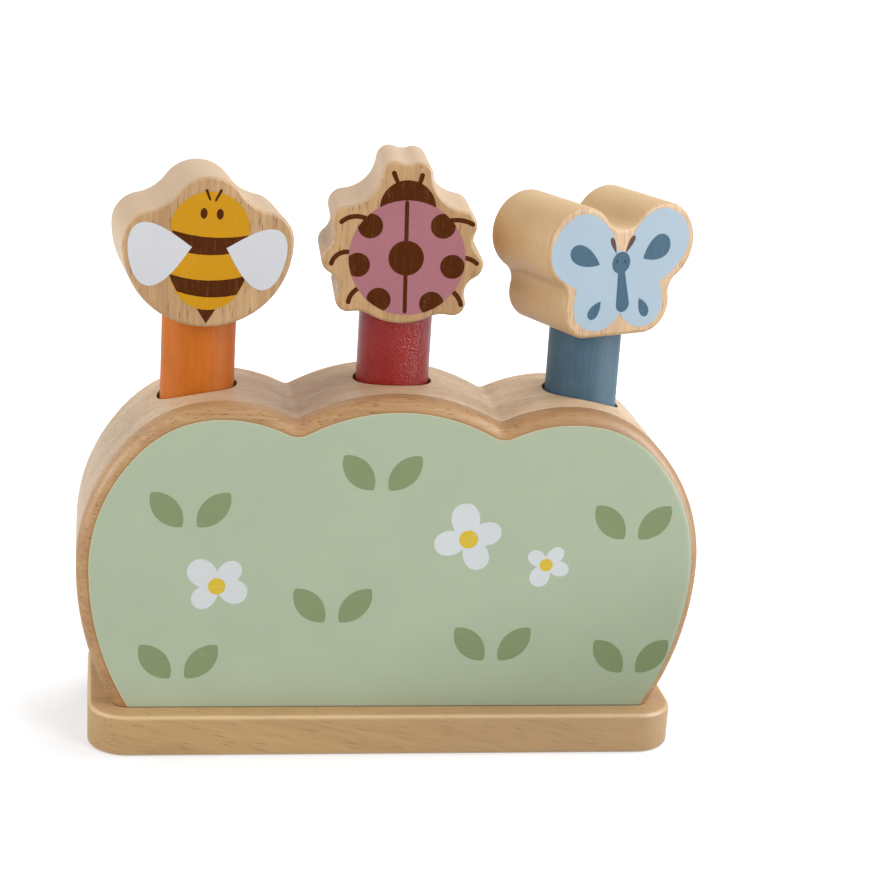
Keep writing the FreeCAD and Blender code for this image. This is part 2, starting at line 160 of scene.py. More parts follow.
def add_softbox(name, place, wide, tall, power, shine_only=False):
    lamp = bpy.data.lights.new(name, "AREA")
    lamp.shape = "RECTANGLE"
    lamp.size = wide * MM
    lamp.size_y = tall * MM
    lamp.energy = power
    softbox = bpy.data.objects.new(name, lamp)
    bpy.context.scene.collection.objects.link(softbox)
    softbox.location = Vector(place) * MM
    softbox.rotation_euler = (CAMERA_TARGET - softbox.location).to_track_quat("-Z", "Y").to_euler()
    softbox.visible_camera = False
    softbox.visible_diffuse = not shine_only


def make_object(bm, name, material):
    """A bmesh in millimetres as an object in metres, with its one material."""
    bmesh.ops.scale(bm, verts=bm.verts[:], vec=(MM, MM, MM))
    mesh = bpy.data.meshes.new(name)
    bm.to_mesh(mesh)
    bm.free()
    mesh.materials.append(material)
    made = bpy.data.objects.new(name, mesh)
    bpy.context.scene.collection.objects.link(made)
    return made


def white_floor_material():
    """Matt white, which the camera sees whiter further from the toy."""
    material, tree, shader = new_material("white_floor")
    place = add_node(tree, "ShaderNodeTexCoord").outputs["Object"]
    distance = add_node(tree, "ShaderNodeVectorMath", {0: place}, operation="LENGTH").outputs["Value"]
    lift = ramp_node(tree, distance, LIFT_STARTS, LIFT_ENDS, LIFT_NEAR, LIFT_FAR)
    lift = math_node(tree, "MULTIPLY", lift, seen_by_camera(tree))
    tree.links.new(grey_node(tree, lift), shader.inputs["Emission Color"])
    shader.inputs["Emission Strength"].default_value = 1.0
    shader.inputs["Base Color"].default_value = FLOOR_WHITE
    shader.inputs["Roughness"].default_value = FLOOR_ROUGHNESS
    shader.inputs["Specular IOR Level"].default_value = FLOOR_GLOSS
    return material


def lay_floor():
    bm = bmesh.new()
    bmesh.ops.create_grid(bm, x_segments=1, y_segments=1, size=FLOOR_SIZE / 2)
    floor = make_object(bm, "floor", white_floor_material())


set_surround()
for softbox in SOFTBOXES:
    add_softbox(*softbox)
for strip in SHINE_STRIPS:
    add_softbox(*strip, shine_only=True)
lay_floor()

# ------------------------------------------------------------------------------------ base plank
# The plank that the toy stands on: one piece of steamed beech, planed, with rounded corners and
# sanded edges, under a clear matt lacquer. Its front is left plain.
BASE_TONES = ((197, 161, 113), (178, 142, 96), (118, 78, 44))       # pale, deep and fleck
BASE_FLECKS = (8.0, 0.42, 0.55)         # their length and width in mm, and how strong they are
BASE_SLANT = (0.0, math.radians(-13.0), math.radians(3.0))      # of its grain
BASE_EDGE_HIGHLIGHT = (234, 206, 165)     # painted highlight along the sanded, rounded edges
BASE_EDGE_HIGHLIGHT_SHARE = 0.5           # how much of that painted highlight shows
BASE_GREYER = (166, 138, 106)   # what its right half leans to
BASE_GREYER_SHARE = 0.40        # how far it leans
BASE_GREYER_ACROSS = (-0.03, 0.06)      # metres across, between which that comes in
# The beech's own marks: repeats a millimetre, along and across the grain.
GRAIN_BANDS, GRAIN_STREAKS = (0.006, 0.07), (0.022, 0.75)
GRAIN_FIBRES, GRAIN_PORES = (0.13, 2.6), (0.7, 4.4)
BAND_TONE, STREAK_TONE, FIBRE_TONE = 0.45, 0.40, 0.15           # how much each deepens the tone
PORE_STRENGTH = 0.14
FLECK_CELL = 0.6                # about the share of its cell that a fleck fills
FLECK_RISE, FIBRE_RISE, PORE_RISE = -0.7, 0.8, -0.3             # parts of the relief
WOOD_ROUGHNESS, FIBRE_ROUGHNESS = 0.36, 0.25                    # and what the fibres add
COLOUR, NUMBER, VECTOR = "NodeSocketColor", "NodeSocketFloat", "NodeSocketVector"
SURFACE = [("Colour", COLOUR), ("Height", NUMBER), ("Roughness", NUMBER)]   # what a finish puts out


def linear(colour):
    """A screen colour, 0 to 255, as the linear colour that a shader takes."""
    shares = [value / 255 for value in colour]
    return (*[s / 12.92 if s <= 0.04045 else ((s + 0.055) / 1.055) ** 2.4 for s in shares], 1.0)


def mix_node(tree, share, first, second, blend_type="MIX"):
    """Two colours mixed by share; the colours are sockets or linear colours."""
    mix = add_node(tree, "ShaderNodeMix", {0: share, 6: first, 7: second}, data_type="RGBA",
                   blend_type=blend_type, clamp_factor=True)
    return mix.outputs[2]


def new_group(name, inputs, outputs):
    """A shader node group with named sockets: the group, its input node and its output node."""
    group = bpy.data.node_groups.new(name, "ShaderNodeTree")
    for socket_name, kind, value in inputs:
        socket = group.interface.new_socket(socket_name, in_out="INPUT", socket_type=kind)
        if value is not None:
            socket.default_value = value
    for socket_name, kind in outputs:
        group.interface.new_socket(socket_name, in_out="OUTPUT", socket_type=kind)
    return group, group.nodes.new("NodeGroupInput"), group.nodes.new("NodeGroupOutput")


def put_out(group, result, **values):
    """Joins each value to the group's output of that name."""
    for name, value in values.items():
        group.links.new(value, result.inputs[name])


def stretched(tree, place, along, across):
    """Places squeezed by so many repeats a millimetre, along the grain (x) and across it."""
    return add_node(tree, "ShaderNodeVectorMath", {0: place, 1: (along, across, across)},
                    operation="MULTIPLY").outputs[0]


def noise_node(tree, place, detail, **inputs):
    """A soft noise over the places, mostly between 0.3 and 0.7; detail is how fine it goes."""
    return add_node(tree, "ShaderNodeTexNoise", {"Vector": place, "Scale": 1.0, "Detail": detail,
                                                 "Roughness": 0.6, **inputs}).outputs["Fac"]


def make_beech_grain():
    """Beech with its grain along x, from places in mm: tone bands, fibres, and the short dark
    flecks of its rays, which show as dashes on the long faces and as dots on the end grain."""
    group, given, result = new_group(
        "beech_grain",
        [("Place", VECTOR, None), ("Pale", COLOUR, None), ("Deep", COLOUR, None), ("Fleck", COLOUR, None),
         ("Fleck length", NUMBER, 3.0), ("Fleck width", NUMBER, 0.4), ("Fleck strength", NUMBER, 0.6)],
        SURFACE)
    place = given.outputs["Place"]
    bands = noise_node(group, stretched(group, place, *GRAIN_BANDS), 3.0, Distortion=0.4)
    streaks = noise_node(group, stretched(group, place, *GRAIN_STREAKS), 4.0)
    fibres = noise_node(group, stretched(group, place, *GRAIN_FIBRES), 2.0)
    along = math_node(group, "DIVIDE", FLECK_CELL, given.outputs["Fleck length"])
    across = math_node(group, "DIVIDE", FLECK_CELL, given.outputs["Fleck width"])
    cells = add_node(group, "ShaderNodeCombineXYZ", {0: along, 1: across, 2: across}).outputs[0]
    cells = add_node(group, "ShaderNodeVectorMath", {0: place, 1: cells}, operation="MULTIPLY").outputs[0]
    flecks = add_node(group, "ShaderNodeTexVoronoi", {"Vector": cells, "Scale": 1.0, "Randomness": 1.0})
    chosen = add_node(group, "ShaderNodeSeparateColor", {0: flecks.outputs["Color"]}).outputs[0]
    chosen = ramp_node(group, chosen, 0.25, 0.75, 1.0, 0.0)
    fleck = ramp_node(group, flecks.outputs["Distance"], 0.05, 0.36, 1.0, 0.0)
    fleck = math_node(group, "MULTIPLY", fleck, chosen)
    pores = add_node(group, "ShaderNodeTexVoronoi",
                     {"Vector": stretched(group, place, *GRAIN_PORES), "Scale": 1.0}).outputs["Distance"]
    pore = ramp_node(group, pores, 0.10, 0.35, 1.0, 0.0)
    tone = math_node(group, "ADD", ramp_node(group, bands, 0.34, 0.66, 0.0, BAND_TONE),
                     ramp_node(group, streaks, 0.36, 0.66, 0.0, STREAK_TONE))
    tone = math_node(group, "ADD", tone, ramp_node(group, fibres, 0.35, 0.70, 0.0, FIBRE_TONE))
    wood = mix_node(group, tone, given.outputs["Pale"], given.outputs["Deep"])
    strength = math_node(group, "MULTIPLY", fleck, given.outputs["Fleck strength"])
    wood = mix_node(group, strength, wood, given.outputs["Fleck"])
    faint = math_node(group, "MULTIPLY", pore, PORE_STRENGTH)
    wood = mix_node(group, faint, wood, given.outputs["Fleck"])
    height = math_node(group, "MULTIPLY", fibres, FIBRE_RISE)
    height = math_node(group, "MULTIPLY_ADD", fleck, FLECK_RISE, height)
    height = math_node(group, "MULTIPLY_ADD", pore, PORE_RISE, height)
    roughness = math_node(group, "MULTIPLY_ADD", fibres, FIBRE_ROUGHNESS, WOOD_ROUGHNESS)
    put_out(group, result, Colour=wood, Height=height, Roughness=roughness)
    return group


def make_turned_away():
    """How far a face of a sawn piece turns away from its sawn sides: 0 on them, 1 on its rim, and
    Edge, which is 1 half way round the sanded edge between the two."""
    group, given, result = new_group("turned_away", [("Sawn axis", VECTOR, None)],
                                     [("Rim", NUMBER), ("Edge", NUMBER)])
    normal = add_node(group, "ShaderNodeTexCoord").outputs["Normal"]
    share = add_node(group, "ShaderNodeVectorMath", {0: normal, 1: given.outputs["Sawn axis"]},
                     operation="DOT_PRODUCT").outputs["Value"]
    square = math_node(group, "MULTIPLY", share, share)
    rim = math_node(group, "SUBTRACT", 1.0, square)
    edge = math_node(group, "MULTIPLY", math_node(group, "MULTIPLY", rim, square), 4.0)
    put_out(group, result, Rim=rim, Edge=edge)
    return group


beech_grain = make_beech_grain()
turned_away = make_turned_away()
ALONG_X = (0.0, 0.0, 0.0)
ALONG_Z = (0.0, math.pi / 2, 0.0)


def places_in_mm(tree, turn=ALONG_X, shift=(0.0, 0.0, 0.0)):
    """Places in mm on the piece, turned so that its grain runs along x; shift picks another board."""
    place = add_node(tree, "ShaderNodeTexCoord").outputs["Object"]
    return add_node(tree, "ShaderNodeMapping", {"Vector": place, "Location": shift, "Rotation": turn,
                                                "Scale": (1 / MM, 1 / MM, 1 / MM)}).outputs[0]


def object_place(tree):
    """Where a point is on the piece, in metres, as its X, Y and Z."""
    place = add_node(tree, "ShaderNodeTexCoord").outputs["Object"]
    return add_node(tree, "ShaderNodeSeparateXYZ", {0: place}).outputs


def add_beech(tree, place, tones, flecks):
    """The beech group with its pale, deep and fleck tones and its flecks' size and strength."""
    pale, deep, fleck = tones
    length, width, strength = flecks
    return add_node(tree, "ShaderNodeGroup",
                    {"Place": place, "Pale": linear(pale), "Deep": linear(deep), "Fleck": linear(fleck),
                     "Fleck length": length, "Fleck width": width, "Fleck strength": strength},
                    node_tree=beech_grain)


def give_surface(tree, shader, colour, relief, depth=0.04, gloss=0.25):
    """Joins a colour, and a relief's Roughness and Height, depth mm deep, to the material's shader."""
    shader.inputs["Specular IOR Level"].default_value = gloss
    bump = add_node(tree, "ShaderNodeBump",
                    {"Strength": 1.0, "Distance": depth * MM, "Height": relief["Height"]}).outputs[0]
    for socket, value in (("Base Color", colour), ("Roughness", relief["Roughness"]), ("Normal", bump)):
        tree.links.new(value, shader.inputs[socket])


def set_finish(node, material):
    for slot in nodes[node].material_slots:
        slot.material = material


def beech_plank_material():
    material, tree, shader = new_material("beech_plank")
    grain = add_beech(tree, places_in_mm(tree, BASE_SLANT), BASE_TONES, BASE_FLECKS)
    sides = add_node(tree, "ShaderNodeGroup", {"Sawn axis": (0.0, 0.0, 1.0)}, node_tree=turned_away)
    # painted highlight on the plank's rounded edges
    worn_and_highlight = math_node(tree, "MULTIPLY", sides.outputs["Edge"], BASE_EDGE_HIGHLIGHT_SHARE)
    colour = mix_node(tree, worn_and_highlight, grain.outputs["Colour"], linear(BASE_EDGE_HIGHLIGHT))
    there = object_place(tree)
    greyer = ramp_node(tree, there["X"], *BASE_GREYER_ACROSS, 0.0, BASE_GREYER_SHARE)
    colour = mix_node(tree, greyer, colour, linear(BASE_GREYER))
    give_surface(tree, shader, colour, grain.outputs)
    return material


set_finish("base_plank", beech_plank_material())

# ------------------------------------------------------------------------------------ body block
# The bush: a thick three-lobed block of beech, grain along the toy, with browner wood and painted shade
# round its left notch.
# It is bored from below for the springs and from above for the pegs.
BLOCK_TONES = ((234, 208, 174), (200, 167, 130), (124, 90, 64))
BLOCK_FLECKS = (3.0, 0.45, 0.7)
BLOCK_SLANT, BLOCK_BOARD = (0.0, math.radians(3.0), math.radians(4.0)), (31.0, 7.0, 12.0)
BLOCK_END_SHADE = 0.74          # the share of its tone that its end grain keeps: darker end grain, and painted shade on the block's ends
END_GRAIN_FADES = 0.4           # how far a face turns from the grain's ends before that fades
# browner wood and painted shade, darkest round the crease of the left notch, on the top only
NOTCH_BROWN_AND_SHADE = (146, 112, 86)
PATCH_PLACE, PATCH_REACH = -33.0, (4.0, 44.0)       # its middle across the toy, and where it fades
PATCH_CLOUD = (0.03, 0.12)                          # its clouds' repeats a millimetre
PATCH_WANDER = 30.0                                 # how far, in all, they move its border
PATCH_SHARE, PATCH_THIN = 0.7, 0.65                 # how brown it is, and what thin clouds leave
PATCH_LOW, PATCH_WHOLE = 0.099, 0.108               # the heights, in metres, between which it starts


def darken_ends(tree, colour, along, shade):
    """End grain drinks more lacquer, and painted shade deepens it: the faces that look along the grain
    keep a share of their tone.
    """
    ends = add_node(tree, "ShaderNodeGroup", {"Sawn axis": along}, node_tree=turned_away)
    shade = ramp_node(tree, ends.outputs["Rim"], END_GRAIN_FADES, 1.0, shade, 1.0)
    return mix_node(tree, 1.0, colour, grey_node(tree, shade), "MULTIPLY")


def beech_block_material():
    material, tree, shader = new_material("beech_block")
    place = places_in_mm(tree, BLOCK_SLANT, BLOCK_BOARD)
    grain = add_beech(tree, place, BLOCK_TONES, BLOCK_FLECKS)
    cloud = noise_node(tree, stretched(tree, place, *PATCH_CLOUD), 3.0)
    there = object_place(tree)
    # the mask of the browner wood and painted shade round the left notch
    aside = math_node(tree, "MULTIPLY_ADD", there["X"], 1 / MM, -PATCH_PLACE)
    aside = math_node(tree, "MULTIPLY_ADD", cloud, PATCH_WANDER, math_node(tree, "ABSOLUTE", aside))
    brown = ramp_node(tree, aside, PATCH_REACH[0] + PATCH_WANDER / 2, PATCH_REACH[1] + PATCH_WANDER / 2,
                      PATCH_SHARE, 0.0)
    brown = math_node(tree, "MULTIPLY", brown, ramp_node(tree, cloud, 0.3, 0.7, PATCH_THIN, 1.0))
    brown = math_node(tree, "MULTIPLY", brown, ramp_node(tree, there["Z"], PATCH_LOW, PATCH_WHOLE))
    colour = mix_node(tree, brown, grain.outputs["Colour"], linear(NOTCH_BROWN_AND_SHADE))
    # darker end grain and painted shade on the block's ends
    colour = darken_ends(tree, colour, (1.0, 0.0, 0.0), BLOCK_END_SHADE)
    give_surface(tree, shader, colour, grain.outputs)
    return material


set_finish("body_block", beech_block_material())

# ----------------------------------------------------------------------------------- front panel
# A thinner panel sawn to the block's outline and glued to its front, grain along the toy. Its
# face is screen printed sage green up to the sanded edge, which shows bare wood.
PANEL_TONES = ((194, 155, 108), (160, 118, 78), (92, 58, 32))
PANEL_FLECKS = (3.5, 0.45, 0.8)
PANEL_SLANT, PANEL_BOARD = (0.0, 0.0, math.radians(-1.5)), (5.0, 90.0, 40.0)
FOOT_SHADOW_AND_DUST = (70, 56, 42)        # painted contact shadow, with some dust, as a dark line where the panel meets the plank
FOOT_SHADOW_SHARE = 0.8                # how strong it is
FOOT_SHADOW_FADES = (0.1, 0.55)        # the heights over the panel's foot, in mm, between which it fades
PANEL_FACE_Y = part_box("front_panel")[0][1] / MM
PANEL_FOOT_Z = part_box("front_panel")[0][2] / MM
SAGE = (172, 184, 157)
SAGE_DEEP = (150, 162, 135)     # the ink's tone towards the lower right
LOWER_RIGHT_SLOPES = (0.6, -1.4)            # across and up, of the way in which the prints deepen
LOWER_RIGHT_RANGE = (-0.065, 0.030)         # where on that way it starts and ends
SAGE_SHOW = 0.10                # how much of the wood shows through it
SAGE_RELIEF = 0.5               # how much of an ink's relief it keeps
INK_EDGE = 0.018                # how far behind the face the ink ends, in mm
INK_EDGE_RIGHT = 0.30           # the same at the toy's right, where the print runs over the edge
RIGHT_EDGE = (0.060, 0.095)     # metres across, between which that comes in
INK_FADE = 0.003                # half the width, in mm, over which the ink ends
INK_RIM_HIGHLIGHT = (214, 207, 170)       # the ink's outer line round the edge: ink worn thin, and a painted highlight on it
INK_RIM_WIDTH = 0.0168          # how deep it goes round the edge, in mm
INK_RIM_SHARE, INK_RIM_SHARE_RIGHT = 0.65, 0.10     # how strong that painted highlight is, and at the toy's right
EDGE_DARK_TONE = (150, 112, 72)    # a darker tone on the bare wood just past the ink
EDGE_DARK_DEPTH = 0.10             # how deep that goes round the edge, in mm
EDGE_DARK_SHARE = 0.6              # how strong it is
RIM_BROWNER = 0.70              # how far the rim's wood leans to that tone at the toy's right
RIM_BROWNER_LOW = 0.4           # how much of that is left near the plank
RIM_BROWNER_ACROSS, RIM_BROWNER_UP = (0.02, 0.075), (0.05, 0.09)        # metres, where it comes in
# A screen ink's marks: repeats a millimetre, along and across the grain.
INK_MOTTLE, INK_FIBRES, INK_SPECKLE = (0.05, 0.05), (0.12, 1.4), (1.3, 2.2)
MOTTLE_SHADES = (0.98, 1.015)   # of the ink's tone, from one end of the mottle to the other
SPECKLE_RISE = 0.3              # its part of the relief
INK_ROUGHNESS, SPECKLE_ROUGHNESS = 0.36, 0.2        # and what the speckle adds


def make_ink_cover():
    """Screen ink on wood: its colour with a soft mottle, thinner over the fibres by Show."""
    group, given, result = new_group(
        "ink_cover",
        [("Place", VECTOR, None), ("Ink", COLOUR, None), ("Bare", COLOUR, None), ("Show", NUMBER, 0.2)],
        SURFACE)
    place = given.outputs["Place"]
    mottle = noise_node(group, stretched(group, place, *INK_MOTTLE), 2.0)
    fibres = noise_node(group, stretched(group, place, *INK_FIBRES), 3.0)
    speckle = noise_node(group, stretched(group, place, *INK_SPECKLE), 2.0)
    thin = math_node(group, "MULTIPLY", ramp_node(group, fibres, 0.45, 0.78),
                     ramp_node(group, speckle, 0.40, 0.72))
    thin = math_node(group, "MULTIPLY", thin, given.outputs["Show"])
    shade = ramp_node(group, mottle, 0.3, 0.7, *MOTTLE_SHADES)
    ink = mix_node(group, 1.0, given.outputs["Ink"], grey_node(group, shade), "MULTIPLY")
    ink = mix_node(group, thin, ink, given.outputs["Bare"])
    height = math_node(group, "MULTIPLY_ADD", speckle, SPECKLE_RISE, fibres)
    roughness = math_node(group, "MULTIPLY_ADD", speckle, SPECKLE_ROUGHNESS, INK_ROUGHNESS)
    put_out(group, result, Colour=ink, Height=height, Roughness=roughness)
    return group


ink_cover = make_ink_cover()


def add_ink(tree, place, ink, bare, show):
    """The ink group: ink is a socket or a linear colour, bare the tone of what it is printed on,
    and show how much of that shows through."""
    given = {"Place": place, "Ink": ink, "Bare": linear(bare), "Show": show}
    return add_node(tree, "ShaderNodeGroup", given, node_tree=ink_cover)


def lower_right(tree, there):
    """How far towards the panel's lower right a place is: the prints are deeper there."""
    across, up = LOWER_RIGHT_SLOPES
    way = math_node(tree, "MULTIPLY", there["Z"], up)
    way = math_node(tree, "MULTIPLY_ADD", there["X"], across, way)
    return ramp_node(tree, way, *LOWER_RIGHT_RANGE)


def mix_values(tree, share, first, second):
    return add_node(tree, "ShaderNodeMix", {0: share, 2: first, 3: second}).outputs[0]


def printed_panel_material():
    material, tree, shader = new_material("printed_panel")
    place = places_in_mm(tree, PANEL_SLANT, PANEL_BOARD)
    grain = add_beech(tree, place, PANEL_TONES, PANEL_FLECKS)
    there = object_place(tree)
    sage = mix_node(tree, lower_right(tree, there), linear(SAGE), linear(SAGE_DEEP))
    ink = add_ink(tree, place, sage, PANEL_TONES[0], SAGE_SHOW)
    behind = math_node(tree, "MULTIPLY_ADD", there["Y"], 1 / MM, -PANEL_FACE_Y)
    edge = ramp_node(tree, there["X"], *RIGHT_EDGE, INK_EDGE, INK_EDGE_RIGHT)
    past = math_node(tree, "SUBTRACT", behind, edge)
    printed = ramp_node(tree, past, -INK_FADE, INK_FADE, 1.0, 0.0)
    # a darker band on the bare wood just past the ink's end
    dark_line = ramp_node(tree, past, 0.5 * EDGE_DARK_DEPTH, EDGE_DARK_DEPTH, EDGE_DARK_SHARE, 0.0)
    browner = math_node(tree, "MULTIPLY",
                        ramp_node(tree, there["X"], *RIM_BROWNER_ACROSS, 0.0, RIM_BROWNER),
                        ramp_node(tree, there["Z"], *RIM_BROWNER_UP, RIM_BROWNER_LOW, 1.0))
    wood = mix_node(tree, math_node(tree, "MAXIMUM", dark_line, browner), grain.outputs["Colour"],
                    linear(EDGE_DARK_TONE))
    # painted highlight on the rounded edge, where the ink is also worn thin
    share = ramp_node(tree, there["X"], *RIGHT_EDGE, INK_RIM_SHARE, INK_RIM_SHARE_RIGHT)
    worn_and_highlight = ramp_node(tree, past, -INK_RIM_WIDTH, -0.9 * INK_RIM_WIDTH, 0.0, share)
    inked = mix_node(tree, worn_and_highlight, ink.outputs["Colour"], linear(INK_RIM_HIGHLIGHT))
    colour = mix_node(tree, printed, wood, inked)
    above = math_node(tree, "MULTIPLY_ADD", there["Z"], 1 / MM, -PANEL_FOOT_Z)
    # painted contact shadow along the panel's foot
    foot_shadow = ramp_node(tree, above, *FOOT_SHADOW_FADES, FOOT_SHADOW_SHARE, 0.0)
    colour = mix_node(tree, foot_shadow, colour, linear(FOOT_SHADOW_AND_DUST))
    height = math_node(tree, "MULTIPLY", ink.outputs["Height"], SAGE_RELIEF)
    height = mix_values(tree, printed, grain.outputs["Height"], height)
    roughness = mix_values(tree, printed, grain.outputs["Roughness"], ink.outputs["Roughness"])
    give_surface(tree, shader, colour, {"Height": height, "Roughness": roughness})
    return material


set_finish("front_panel", printed_panel_material())

# ------------------------------------------------------------------------- leaves on the panel
# Seven pairs of leaves printed on the sage green in a darker green ink, each leaf a pointed oval
# that leans outwards. A print is a thin film of ink that stands proud of the wood.
LEAF_GREEN = (135, 149, 109)
LEAF_DEEP = (117, 131, 93)      # the same ink towards the panel's lower right
LEAF_FOOT = 2.5                 # from the pair's middle to a leaf's inner tip
LEAF_REACH = (12.5, 11.4)       # from the pair's foot to a leaf's outer tip, across and up
LEAF_WIDTH = 8.3
LEAF_POINT = 0.78               # the power of its two ends
LEAF_PAIRS = {"a": (-66.5, 76.4), "b": (-5.7, 89.5), "c": (-19.6, 44.0), "d": (-69.0, 24.4),
              "e": (78.1, 73.5), "f": (34.0, 30.6), "g": (81.3, 26.2)}
FILM_DEPTH = 0.03               # how far a film starts under the surface that carries it
FILM_PROUD = 0.04               # how much further each layer of ink stands out
SHAPE_PROUD = 0.004             # and each shape of a film, where two of them overlap
INK_DEPTH, INK_GLOSS = 0.02, 0.05           # a film's relief in mm, and how glossy it is
ROUND = 0.5                     # the power that makes an oval's end round
ROUND_STEPS = 48


def drop(bm, tip, end, width, tip_power, end_power):
    """A flat oval from tip to end, upright in XZ: a power near 1 makes a point, near 0.5 a round."""
    tip, end = Vector((tip[0], 0.0, tip[1])), Vector((end[0], 0.0, end[1]))
    along = end - tip
    across = Vector((-along.z, 0.0, along.x)).normalized()
    widest = tip_power / (tip_power + end_power)
    scale = width / 2 / (widest ** tip_power * (1 - widest) ** end_power)
    made = bmesh.ops.create_circle(bm, cap_ends=True, segments=ROUND_STEPS, radius=1.0)["verts"]
    for vert in made:
        share = min(max((1 + vert.co.x) / 2, 0.0), 1.0)
        side = math.copysign(share ** tip_power * (1 - share) ** end_power, vert.co.y)
        vert.co = tip + along * share + across * side * scale


def lay_print(name, draw, layer, ink, body, x=0.0, turn=0.0, front=PANEL_FACE_Y, pivot_y=0.0):
    """A film of ink on an upright face: draw(bm) makes its flat shapes in XZ, all facing -y."""
    bm = bmesh.new()
    draw(bm)
    for step, face in enumerate(bm.faces[:]):
        thick = FILM_DEPTH + FILM_PROUD * (layer + 1) + SHAPE_PROUD * step
        made = bmesh.ops.extrude_face_region(bm, geom=[face])["geom"]
        front_verts = [part for part in made if isinstance(part, bmesh.types.BMVert)]
        bmesh.ops.translate(bm, verts=front_verts, vec=(0.0, -thick, 0.0))
    bmesh.ops.recalc_face_normals(bm, faces=bm.faces[:])
    bmesh.ops.translate(bm, verts=bm.verts[:], vec=(0.0, front + FILM_DEPTH - pivot_y, 0.0))
    bmesh.ops.rotate(bm, verts=bm.verts[:], cent=(0.0, 0.0, 0.0),
                     matrix=Matrix.Rotation(math.radians(turn), 3, "Z"))
    bmesh.ops.translate(bm, verts=bm.verts[:], vec=(x, pivot_y, 0.0))
    film = make_object(bm, name, ink)
    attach(film, body)
    return film


def ink_material(name, ink, bare, show, turn=ALONG_Z, deep=None):
    """An ink over bare wood or another ink; deep is its tone at the panel's lower right."""
    material, tree, shader = new_material(name)
    tone = linear(ink)
    if deep:
        there = object_place(tree)
        tone = mix_node(tree, lower_right(tree, there), tone, linear(deep))
    cover = add_ink(tree, places_in_mm(tree, turn), tone, bare, show)
    give_surface(tree, shader, cover.outputs["Colour"], cover.outputs, INK_DEPTH, INK_GLOSS)
    return material


def draw_leaf_pair(bm, x, z):
    for side in (-1, 1):
        drop(bm, (x + side * LEAF_FOOT, z), (x + side * LEAF_REACH[0], z + LEAF_REACH[1]), LEAF_WIDTH,
             LEAF_POINT, LEAF_POINT)


leaf_ink = ink_material("leaf_green_ink", LEAF_GREEN, SAGE, 0.25, ALONG_X, LEAF_DEEP)
for letter, (leaf_x, leaf_z) in LEAF_PAIRS.items():
    pair = lay_print(f"leaf_pair_{letter}", lambda bm: draw_leaf_pair(bm, leaf_x, leaf_z), 0,
                     leaf_ink, "root")

# ------------------------------------------------------------------------ flowers on the panel
# Three white flowers printed over the green, each with four petals of uneven length, and a round
# yellow middle printed on top.
PETAL_WHITE = (212, 216, 217)
MIDDLE_YELLOW = (216, 186, 62)
PETAL_POWERS = (0.62, 0.46)     # of a petal's inner and outer end
FLOWERS = {     # middle, middle's radius, then each petal's direction in degrees, length and width
    "left": ((-57.3, 56.2), 2.8, ((137, 11.6, 8.9), (50, 10.5, 7.2), (-18, 10.2, 8.2), (223, 9.8, 7.4))),
    "middle": ((23.8, 72.9), 3.1, ((101, 12.5, 9.4), (18, 11.1, 7.9), (-64, 11.2, 8.4), (192, 11.4, 8.5))),
    "right": ((50.2, 64.2), 2.2, ((144, 7.2, 5.2), (49, 7.6, 5.1), (-16, 7.9, 5.2), (245, 8.0, 6.6))),
}


def draw_petals(bm, middle, petals):
    for direction, length, width in petals:
        angle = math.radians(direction)
        end = (middle[0] + length * math.cos(angle), middle[1] + length * math.sin(angle))
        drop(bm, middle, end, width, *PETAL_POWERS)


def dot(bm, middle, radius, within=None):
    """A flat round dot; within is a middle and a radius that it may not reach past."""
    place = Matrix.Translation((middle[0], 0.0, middle[1])) @ Matrix.Rotation(math.pi / 2, 4, "X")
    made = bmesh.ops.create_circle(bm, cap_ends=True, segments=ROUND_STEPS, radius=radius, matrix=place)
    if within:
        centre = Vector((within[0], 0.0, within[1]))
        for vert in made["verts"]:
            reach = vert.co - centre
            vert.co = centre + reach * min(1.0, within[2] / max(reach.length, 1e-6))


petal_ink = ink_material("petal_white_ink", PETAL_WHITE, SAGE, 0.15, ALONG_X)
middle_ink = ink_material("middle_yellow_ink", MIDDLE_YELLOW, PETAL_WHITE, 0.3, ALONG_X)
for name, (middle, radius, petals) in FLOWERS.items():
    films = (lay_print(f"{name}_flower_petals", lambda bm: draw_petals(bm, middle, petals), 0,
                       petal_ink, "root"),
             lay_print(f"{name}_flower_middle", lambda bm: dot(bm, middle, radius), 1,
                       middle_ink, "root"))

# ------------------------------------------------------------------------------------- screws
# Four countersunk wood screws of zinc-plated steel. They are driven from below, through the plank
# and into the block, and hold the two together.
ZINC_TONES = ((0.55, 0.56, 0.60, 1.0), (0.72, 0.70, 0.62, 1.0))
ZINC_ROUGHNESS = (0.28, 0.42)
STEEL_DEPTH = 0.01              # of its relief, in mm


def steel_material(name, scale, detail, tones, roughness):
    """Steel whose tone and roughness drift between two of each, over scale repeats a millimetre."""
    material, tree, shader = new_material(name)
    drift = noise_node(tree, places_in_mm(tree), detail, Scale=scale, Roughness=0.5)
    colour = mix_node(tree, drift, *tones)
    relief = {"Height": drift, "Roughness": ramp_node(tree, drift, 0.3, 0.7, *roughness)}
    give_surface(tree, shader, colour, relief, STEEL_DEPTH)
    shader.inputs["Metallic"].default_value = 1.0
    return material


set_finish("base_screws", steel_material("zinc_steel", 0.9, 4.0, ZINC_TONES, ZINC_ROUGHNESS))

